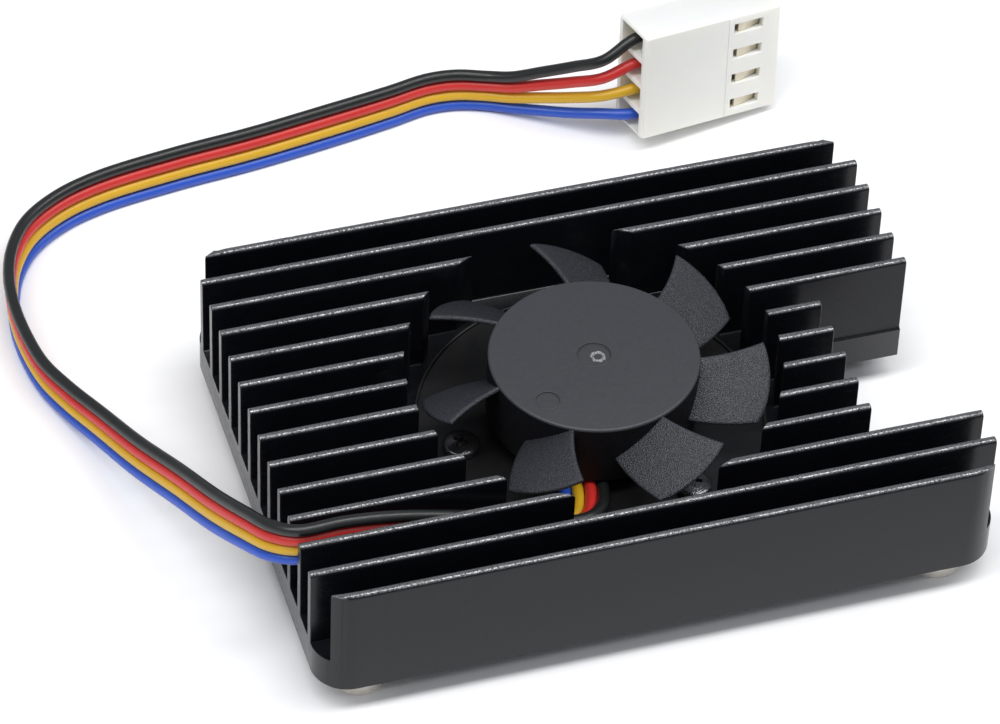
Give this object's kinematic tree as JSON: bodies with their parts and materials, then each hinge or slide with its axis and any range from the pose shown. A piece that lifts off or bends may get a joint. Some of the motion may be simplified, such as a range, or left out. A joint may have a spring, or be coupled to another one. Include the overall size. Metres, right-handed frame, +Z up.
{
  "type": "fan heatsink",
  "caption": "Black finned heatsink with a low-profile fan sunk into it, threaded corner feet, an antenna notch and a wire lead ending in a white plug.",
  "frame": {"origin": "on the ground, under the middle of the heatsink, at the height of the feet's lower faces", "axes": "+X towards the end with the antenna notch, +Y towards the rear long side, +Z up along the fan's axis"},
  "size_m": [0.0711, 0.0658, 0.0135],
  "materials": {
    "heatsink": "black anodised extrusion, fin tops brighter",
    "feet": "nickel plated",
    "fan_plate": "black moulded",
    "screws": "black, glossy",
    "bearing": "sintered bronze",
    "board": "green circuit board",
    "chip": "moulded package",
    "bobbins": "natural nylon",
    "core_steel": "plain electrical steel",
    "windings": "enamelled copper wire",
    "impeller": "dark grey glass-filled, fine texture",
    "magnet": "bonded ferrite",
    "steel": "ground",
    "wire_blue": "PVC insulation",
    "wire_yellow": "PVC insulation",
    "wire_red": "PVC insulation",
    "wire_black": "PVC insulation",
    "plug": "ivory nylon",
    "terminals": "tin plated"
  },
  "bodies": {
    "root": {"heatsink": "heatsink", "foot_front_left": "feet", "foot_front_right": "feet", "foot_rear_left": "feet", "foot_rear_right": "feet", "fan_bracket": "fan_plate", "fan_screw_1": "screws", "fan_screw_2": "screws", "fan_screw_3": "screws", "thrust_pad": "bobbins", "bearing_sleeve": "bearing", "fan_board": "board", "driver_chip": "chip", "bobbin_lower": "bobbins", "stator_core": "core_steel", "bobbin_upper": "bobbins", "coil_1": "windings", "coil_2": "windings", "coil_3": "windings", "coil_4": "windings", "wire_blue": "wire_blue", "wire_yellow": "wire_yellow", "wire_red": "wire_red", "wire_black": "wire_black", "plug_housing": "plug", "terminal_1": "terminals", "terminal_2": "terminals", "terminal_3": "terminals", "terminal_4": "terminals"},
    "rotor": {"impeller": "impeller", "rotor_yoke": "core_steel", "rotor_magnet": "magnet", "shaft": "steel", "shaft_clip": "steel"}
  },
  "joints": [
    {"name": "fan_spin", "type": "hinge", "parent": "root", "child": "rotor", "pos_m": [0, 0, 0.0095], "axis": [0, 0, 1], "continuous": true}
  ]
}
